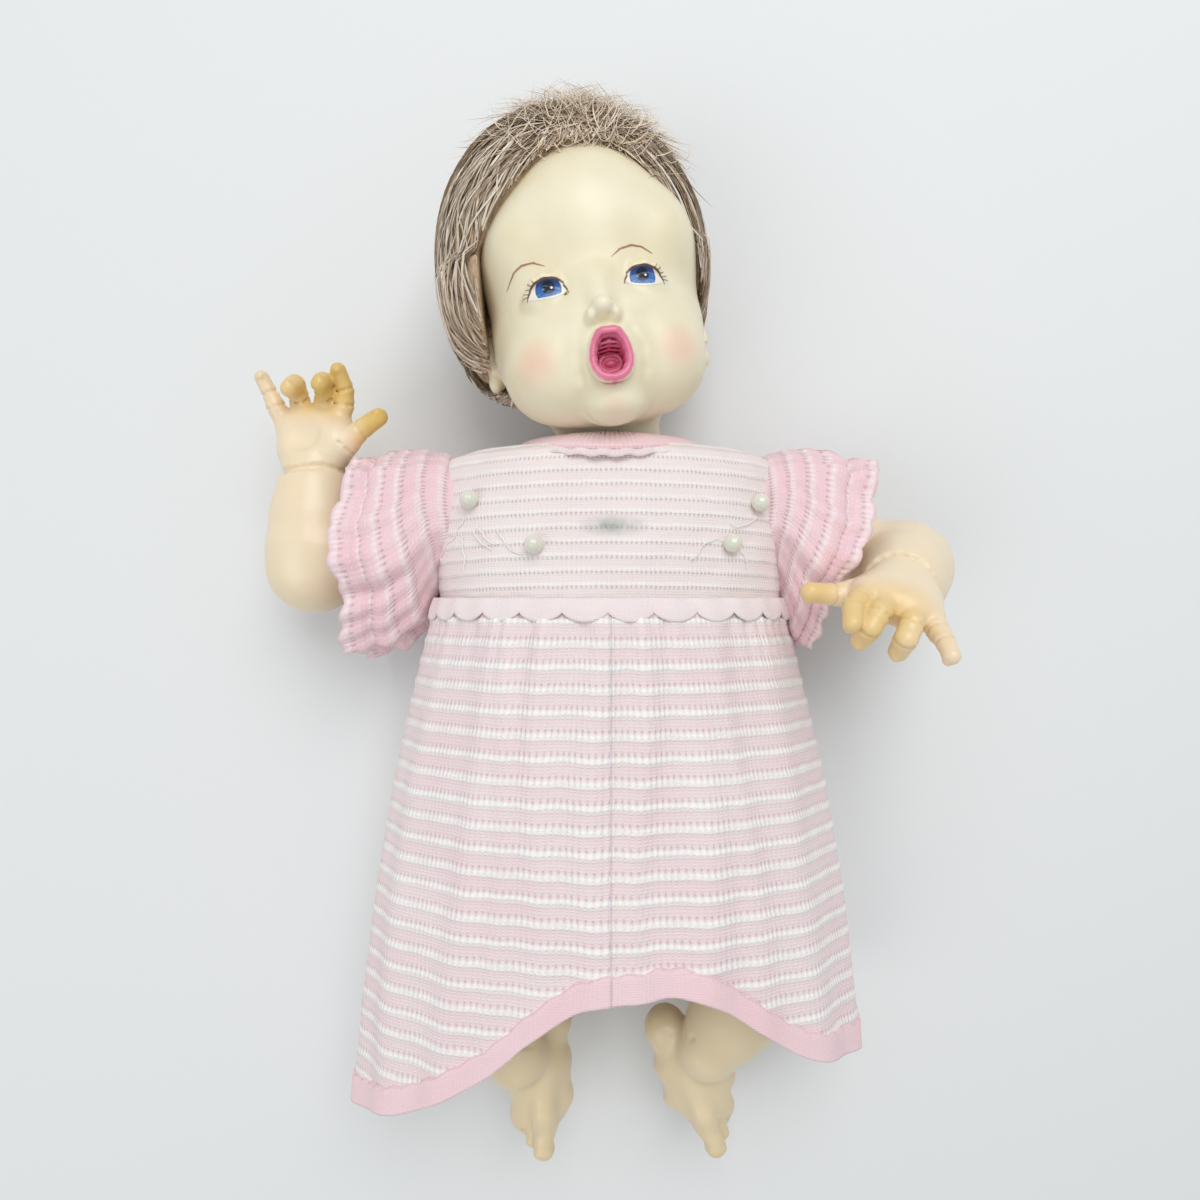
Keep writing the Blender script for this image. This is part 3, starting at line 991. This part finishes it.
# acrylic yarn in the bodice, the skirt, the sleeves and the rib bands
bodice_knit = knit_material("fine_eyelet_knit", ("#F4EAE8", "#F7F0ED"), "#FBF7F3", 6.4, 1.9, 2.1, 0.6, 0.7,
                            0.6, stain=True)
skirt_knit = knit_material("picot_row_knit", ("#F5E3E5", "#F7EAEA"), "#FBFAF6", 9.7, 2.4, 2.7, 0.9, 0.5)
sleeve_knit = knit_material("sleeve_eyelet_knit", ("#F6D5DB", "#F8DDE1"), "#FAEDEE", 7.5, 2.1, 2.6, 0.7,
                            0.7, 0.7)
band_knit = knit_material("pink_rib_knit", ("#F9DADF", "#FAE1E5"), "#FAE6E9", 60.0, 1.7, 60.0, 0.6, 0.0, 0.0)
white_edging = knit_material("white_picot_edging", ("#F8ECEC", "#FAF1F0"), "#FBF9F6", 60.0, 1.5, 60.0, 0.5,
                             0.0, 0.0)


def soft_folds(turn, down, folds):
    """Height of folds of cloth: each has a turn, a width, a height at the top and at the foot."""
    total = 0 * turn * down
    for where, wide, high, low in folds:
        wander = where + 0.04 * np.sin(down * 5 + where * 7)
        total = total + (high * (1 - down) + low * down) * np.exp(-((turn - wander) / wide) ** 2)
    return total


def hem_drop(x):
    """How far below the waist the front hem hangs; it is caught up in the middle."""
    drop = 0 * x
    for shift in (-9, -6, -3, 0, 3, 6, 9):
        drop = drop + np.interp(x + shift, [-122, -84, -49, -29, -5, 13, 31, 49, 74, 90, 122],
                                [241, 226, 201, 180, 166, 167, 164, 173, 194, 205, 211]) / 7
    return drop


FOLDS = [(0.32, 0.10, 0.5, 3.0), (0.70, 0.13, 1.5, 3.4), (1.02, 0.07, 3.2, 1.5), (1.20, 0.09, 2.0, 3.6),
         (1.45, 0.06, 3.8, 2.2), (1.62, 0.08, 3.4, 4.0), (1.86, 0.07, 4.0, 1.8), (2.04, 0.05, 3.0, 0.8),
         (2.18, 0.09, 2.8, 3.0), (2.55, 0.12, 1.0, 3.2), (2.90, 0.10, 0.4, 2.6)]


def skirt_front(turns, starts_at, ends_at, rows, out):
    """Points and knit distances of the skirt front between two distances from its hem or waist."""
    turn = turns[:, None]
    part = np.linspace(0, 1, rows)[None, :]
    wide = through(SKIRT, np.full(len(turns), -190.0))[0]
    drop = hem_drop(wide * np.cos(turns))[:, None]
    low = starts_at if starts_at >= 0 else drop + starts_at
    high = ends_at if ends_at > 0 else drop + ends_at
    down = low + (high - low) * part
    y = -down
    share = down / drop
    gathers = 0.9 * np.exp(-down / 16) * np.sin(turn * 58 + 2 * np.sin(turn * 9))
    ridges = 0.55 * np.maximum(0, np.cos(2 * math.pi * down / 9.7)) ** 2
    lift = soft_folds(turn, share, FOLDS) * np.clip(down / 14, 0.25, 1) + gathers + ridges * (out < 0.5)
    points = girth(SKIRT, y + 0 * turn, turn + 0 * y, lift + out)
    return points, np.stack([turn * 98.0 + 0 * down, down + 0 * turn], -1)


def follow_leg(piece, side):
    """The cloth moves with a thigh: not at the waist or the middle, fully over the knee."""
    name = "leg_left" if side > 0 else "leg_right"
    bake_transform(piece, "torso", name, start=(0.0, -0.06, 0.1), end=(side * 0.06, -0.2, 0.1))
    layer = piece.data.attributes.get("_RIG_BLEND")
    if layer is None:
        return
    spots = np.empty(len(piece.data.vertices) * 3)
    piece.data.vertices.foreach_get("co", spots)
    spots = spots.reshape(-1, 3)
    down = np.clip((-0.075 - spots[:, 1]) / 0.10, 0, 1)
    over = np.clip(np.abs(spots[:, 0]) / 0.055, 0, 1)
    front = np.clip((spots[:, 2] - 0.046) / 0.03, 0, 1)
    ease = down * down * (3 - 2 * down) * over * over * (3 - 2 * over) * front
    layer.data.foreach_set("value", ease.astype(np.float32))


for side in (1, -1):
    name = "left" if side > 0 else "right"
    turns = np.linspace(0.0, math.pi / 2, 150)
    turns = turns if side > 0 else math.pi - turns[::-1]
    grid, knit = skirt_front(turns[::-1], 0.0, -9.0, 190, 0.0)
    panel = cloth_sheet("skirt_front_" + name, grid, knit)
    panel.data.materials.append(skirt_knit)
    follow_leg(panel, side)
    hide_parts("skirt_front")

    # the hem band: a pink rib, stitched on with a scalloped upper edge
    grid, knit = skirt_front(turns[::-1], -11.5, 0, 12, 1.0)
    scallop = 1.3 * np.abs(np.sin(turns[::-1] * 98.0 * math.pi / 9.5))
    grid[:, :2, 1] += scallop[:, None] * np.array([1.0, 0.6])
    knit[..., 0] = (turns[::-1] * 120.0)[:, None]
    band = cloth_sheet("hem_band_front_" + name, grid, knit, thick=1.8)
    band.data.materials.append(band_knit)
    follow_leg(band, side)
    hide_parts("hem_band_front")


def back_drop(x):
    """How far below the waist the back hem reaches."""
    rise = np.clip((np.abs(x) - 60) / 60, 0, 1) ** 2
    arch = np.sqrt(np.maximum(236.0 ** 2 - x ** 2, 100.0 ** 2))
    return np.minimum(245.0, 441 - arch) - rise * 16 * (1 + np.sign(x))


turns = np.linspace(0.0, -math.pi, 170)
part = np.linspace(0, 1, 110)[None, :]
drop = back_drop(122 * np.cos(turns))[:, None]
for name, low, high, out, material, thick in (("skirt_back", 0 * drop, drop - 9, 0.0, skirt_knit, 1.2),
                                              ("hem_band_back", drop - 11, drop, 0.9, band_knit, 1.8)):
    steps = part if name == "skirt_back" else part[:, ::10]
    down = low + (high - low) * steps
    turn = turns[:, None]
    lift = 0.5 * np.maximum(0, np.cos(2 * math.pi * down / 9.7)) ** 2 * (out == 0) + out
    grid = girth(SKIRT, -down + 0 * turn, turn + 0 * down, lift)
    grid[..., 2] = np.where(grid[..., 2] < 0.5, 0.4 + 0.6 * (out == 0), grid[..., 2])
    knit = np.stack([turn * 98.0 + 0 * down, down + 0 * turn], -1)
    panel = cloth_sheet(name + "_panel", grid, knit, thick=thick)
    panel.data.materials.append(material)
    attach(panel, "torso")
    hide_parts(name)

# bodice: front and back, meeting at the side seams and sewn to the sleeves at the armholes
for name, first, last in (("bodice_front", 0.0, math.pi), ("bodice_back", 0.0, -math.pi)):
    turns = np.linspace(first, last, 220)[:, None]
    y = np.concatenate([np.linspace(-1, 58, 76), np.linspace(58.5, 71.4, 44)])[None, :]
    down = 70 - y
    rows = 0.28 * np.maximum(0, np.cos(2 * math.pi * down / 6.4)) ** 2
    crumple = 0.9 * np.sin(turns * 6 + y * 0.06) * np.sin(y * 0.09 + turns * 3) * (first < last)
    grid = girth(BODICE, y + 0 * turns, turns + 0 * y, rows + np.maximum(crumple, -0.3))
    knit = np.stack([(turns - math.pi / 2) * -82.0 + 0 * y, y + 0 * turns + 1.2 * np.cos(turns * 2)], -1)
    if first > last:
        grid, knit = grid[:, ::-1], knit[:, ::-1]
    panel = cloth_sheet(name + "_panel", grid[:, ::-1], knit[:, ::-1])
    panel.data.materials.append(bodice_knit)
    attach(panel, "torso")
    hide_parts(name)

# ---------------------------------------------------------------------------------------
# Waist trim and collar: the trim is a strip of scalloped edging sewn over the waist seam;
# the collar is a pink rib turned over a white scalloped picot edge.
turns = np.linspace(0.02, math.pi - 0.02, 420)[:, None]
down = np.linspace(0, 1, 9)[None, :]
scallop = np.abs(np.sin(turns * 84 * math.pi / 19)) ** 0.6
length = 5.5 + 4.8 * scallop
lift = 1.0 + 0.8 * np.sin(down * 2.6) + 0.4 * np.sin(turns * 31)
grid = girth(SKIRT, 0.8 - down * length, turns + 0 * down, lift + 1.2)
knit = np.stack([turns * 84 + 0 * down, down * length + 0 * turns], -1)
trim = cloth_sheet("waist_trim_edging", grid[:, ::-1], knit[:, ::-1], thick=0.9)
trim.data.materials.append(white_edging)
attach(trim, "torso")
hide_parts("waist_trim")


def neck_ring(turn, radius, y):
    """Points round the neck opening."""
    x, z = radius * np.cos(turn), 47 + radius * np.sin(turn)
    return np.stack([x + 0 * y, y + 0 * x, z + 0 * y], -1)


turns = np.linspace(0, 2 * math.pi, 361)[:-1, None]
part = np.linspace(0, 1, 12)[None, :]
arch = np.sin(part * math.pi)
fall = np.clip(np.sin(turns), 0, 1) ** 2
for name, radius, height, thick, material in (
        ("collar_rib", 30.8 + (13.6 + 1.4 * fall) * part,
         75.6 + 1.4 * arch - (2.0 + 7.6 * fall) * part + 0.25 * np.cos(turns * 110), 1.4, band_knit),
        ("collar_picot_edge", 42.8 + 1.4 * fall + (3.2 + 1.8 * np.abs(np.sin(turns * 14))) * part,
         75.3 - 2.0 - 7.0 * fall - (0.6 + 3.4 * fall) * part + 0.4 * np.sin(turns * 28), 0.8, white_edging)):
    grid = neck_ring(turns, radius + 0 * turns, height + 0 * turns)
    knit = np.stack([turns * 38 + 0 * part, part * 12 + 0 * turns], -1)
    ring = cloth_sheet(name, grid[:, ::-1], knit[:, ::-1], thick=thick, closed=True)
    ring.data.materials.append(material)
    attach(ring, "torso")
    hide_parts("collar")

# ---------------------------------------------------------------------------------------
# Sleeves: wide, short and puffed, eased into the armholes; each ends in a narrow casing and
# a scalloped frill, and lies in deep soft creases.
SLEEVES = {
    "right": (-1, [(70, 43, 25, 27, 0), (79, 43, 28.5, 30, 0.05), (85, 41, 31, 32, 0.1),
                   (94, 31, 40, 38, 0.1), (106, 24, 46, 41, 0.05), (122, 21, 49, 41, 0)]),
    "left": (1, [(70, 43, 25, 27, 0), (79, 43, 28.5, 30, 0.05), (85, 40, 32, 33, 0.15),
                 (92, 32, 39, 38, 0.2), (100, 25, 45, 40, 0.3), (110, 22, 47, 39, 0.4)]),
}
for name, (side, rings) in SLEEVES.items():
    table = np.array(rings, float)
    station = (table[:, 0] - table[0, 0]) / (table[-1, 0] - table[0, 0])
    turns = np.linspace(0, 2 * math.pi, 301)[:-1, None]
    part = np.linspace(0, 1, 60)[None, :]
    x, y, ry, rz, slant = [np.interp(part, station, table[:, k]) for k in range(5)]
    creases = 2.4 * np.sin(turns * 7 + 1.3 + 1.5 * part) + 1.6 * np.sin(turns * 13 + 4 * part + 0.7)
    creases += 1.2 * np.sin(turns * 23 + 2.0)
    gather = np.clip(part * 1.7, 0, 1) * (0.35 + 0.65 * part)
    tuck = -3.4 * np.exp(-((part - 0.80) / 0.05) ** 2)
    puff = 2.0 * np.sin(part * math.pi)
    edge = np.clip((part - 0.93) / 0.07, 0, 1)
    frill = edge * 2.2 * np.abs(np.sin(turns * 12))
    out = creases * gather + tuck + puff - 1.5 + 0.4 * np.cos(2 * math.pi * part * 6)
    swing_y = (ry + out) * np.cos(turns)
    swing_z = (rz + out) * np.sin(turns)
    reach = x + slant * swing_y + frill + 0 * turns
    reach = reach + 2.2 * np.sin(turns * 5 + 1) * part
    grid = np.stack([side * reach, y + swing_y + 0.0 * reach, np.maximum(47 + swing_z, 0.8 + 0 * reach)], -1)
    knit = np.stack([turns * 42 + 0 * part, part * 46 + 0 * turns], -1)
    if side > 0:
        grid, knit = grid[:, ::-1], knit[:, ::-1]
    sleeve = cloth_sheet("sleeve_" + name + "_panel", grid, knit, thick=1.0, closed=True)
    sleeve.data.materials.append(sleeve_knit)
    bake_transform(sleeve, "torso", "arm_" + name, start=(side * 0.086, 0.038, 0.047),
             end=(side * 0.118, 0.028, 0.047))
    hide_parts("sleeve_" + name)

# ---------------------------------------------------------------------------------------
# Buttons: four ribbed pearly beads sewn on the bodice, each on a stitch of white thread, and
# loose ends of that thread lying on the knit.
pearl = new_material("pearly_bead_plastic")
spot_in = add(pearl, "ShaderNodeTexCoord").outputs["Object"]
sheen = add(pearl, "ShaderNodeLayerWeight", Blend=0.4)
finish_with(pearl, add(pearl, "ShaderNodeBsdfPrincipled", Roughness=0.16, Coat_Weight=0.6,
                       Base_Color=gradient(pearl, sheen.outputs["Facing"], [(0.0, "#DDE0CF"), (0.7, "#EDE6D8"),
                                                                            (1.0, "#D5DCE0")])).outputs[0])
for number, (x, y) in enumerate(((-63, 45), (68, 44), (-33, 24), (54, 25))):
    top = DRESS_Z + 49 * math.sqrt(1 - (x / 84) ** 2)
    centre = np.array([x, y, top + 4.6])
    theta, phi = np.meshgrid(np.linspace(0, math.pi, 25), np.linspace(0, 2 * math.pi, 65)[:-1], indexing="ij")
    radius = 4.15 * (1 - 0.07 * np.abs(np.sin(phi * 5)) ** 0.5 * np.sin(theta) ** 0.5)
    ball = np.stack([radius * np.sin(theta) * np.cos(phi), radius * np.cos(theta), radius * np.sin(theta)
                     * np.sin(phi)], -1)
    index = np.arange(25 * 64).reshape(25, 64)
    nxt = np.roll(index, -1, 1)
    quads = np.stack([index[:-1], nxt[:-1], nxt[1:], index[1:]], -1).reshape(-1, 4)
    bead = place_mesh("bead_button_%d" % (number + 1), ball.reshape(-1, 3) + centre, quads)
    bead.data.materials.append(pearl)
    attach(bead, "torso")
    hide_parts("bead_buttons")

thread_seed = random.Random(4)
thread_points, thread_faces = [], []
for x, y, run, way in ((-66, 38, 26, -1.4), (-60, 33, 16, -0.9), (-38, 20, 18, 3.0), (-52, 22, 14, 2.6),
                       (50, 26, 20, 2.9), (66, 38, 16, -1.7), (-67, 30, 18, -1.2), (58, 22, 10, -0.3)):
    heading = way
    for step in range(int(run)):
        rx, rz = through(BODICE, np.array([y]))
        z = DRESS_Z + float(rz[0]) * math.sqrt(max(0.0, 1 - (x / float(rx[0])) ** 2)) + 1.5
        base = len(thread_points)
        for k in range(5):
            turn = 2 * math.pi * k / 5
            thread_points.append((x - 0.28 * math.sin(heading) * math.cos(turn),
                                  y + 0.28 * math.cos(heading) * math.cos(turn), z + 0.28 * math.sin(turn)))
        if step:
            thread_faces += [(base - 5 + k, base - 5 + (k + 1) % 5, base + (k + 1) % 5, base + k)
                             for k in range(5)]
        heading += thread_seed.uniform(-0.35, 0.35)
        x += math.cos(heading)
        y += math.sin(heading)
threads = place_mesh("loose_sewing_thread", thread_points, thread_faces)
# white polyester sewing thread
thread_white = new_material("white_sewing_thread")
finish_with(thread_white, add(thread_white, "ShaderNodeBsdfPrincipled", Base_Color=linear("#F6F4EF"),
                              Roughness=0.6).outputs[0])
threads.data.materials.append(thread_white)
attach(threads, "torso")

# ---------------------------------------------------------------------------------------
# Inside pieces and the hard torso keep their made shapes; each gets the look of what it is
# made of.
PLAIN = {
    "torso_front_shell": ("moulded_polypropylene", "#E8DCC4", 0.45, 0.0),
    "torso_back_shell": ("moulded_polypropylene", "#E8DCC4", 0.45, 0.0),
    "battery_door": ("moulded_polypropylene", "#E8DCC4", 0.45, 0.0),
    "battery_box": ("black_abs", "#2A2A2C", 0.4, 0.0),
    "neck_knob": ("natural_nylon", "#EDE8DA", 0.4, 0.0),
    "tummy_button": ("pink_abs", "#E9A9B5", 0.35, 0.0),
    "tummy_switch": ("black_abs", "#2A2A2C", 0.4, 0.0),
    "tummy_switch_bracket": ("natural_nylon", "#EDE8DA", 0.4, 0.0),
    "power_switch": ("black_abs", "#2A2A2C", 0.4, 0.0),
    "power_slider": ("pink_abs", "#E9A9B5", 0.35, 0.0),
    "mouth_switch": ("black_abs", "#2A2A2C", 0.4, 0.0),
    "circuit_board": ("phenolic_board", "#8A6A35", 0.5, 0.0),
    "board_components": ("epoxy_component_case", "#26262A", 0.35, 0.0),
    "speaker_magnet": ("sintered_ferrite", "#3A3A3C", 0.6, 0.0),
    "speaker_frame": ("zinc_plated_steel", "#B9BCC0", 0.3, 1.0),
    "speaker_cone": ("doped_paper", "#2E2B28", 0.9, 0.0),
    "torso_screws": ("zinc_plated_steel", "#B9BCC0", 0.3, 1.0),
    "battery_door_screw": ("zinc_plated_steel", "#B9BCC0", 0.3, 1.0),
    "battery_contacts": ("zinc_plated_steel", "#B9BCC0", 0.3, 1.0),
    "tummy_spring": ("zinc_plated_steel", "#B9BCC0", 0.3, 1.0),
    "tongue_spring": ("zinc_plated_steel", "#B9BCC0", 0.3, 1.0),
    "battery_cells": ("printed_steel_can", "#6E7478", 0.32, 0.7),
}
made_plain = {}
for node, (kind, code, rough, metal) in PLAIN.items():
    piece = bpy.data.objects.get(node)
    if piece is None:
        continue
    if kind not in made_plain:
        plain = new_material(kind)
        spot_in = add(plain, "ShaderNodeTexCoord").outputs["Object"]
        cloudy = add(plain, "ShaderNodeTexNoise", Vector=spot_in, Scale=120.0, Detail=3.0)
        wear = add(plain, "ShaderNodeMapRange", Value=cloudy.outputs["Fac"], To_Min=rough - 0.06,
                   To_Max=rough + 0.08)
        finish_with(plain, add(plain, "ShaderNodeBsdfPrincipled", Base_Color=linear(code), Metallic=metal,
                               Roughness=wear.outputs[0]).outputs[0])
        made_plain[kind] = plain
    for slot in range(max(1, len(piece.material_slots))):
        if piece.material_slots:
            piece.material_slots[slot].material = made_plain[kind]
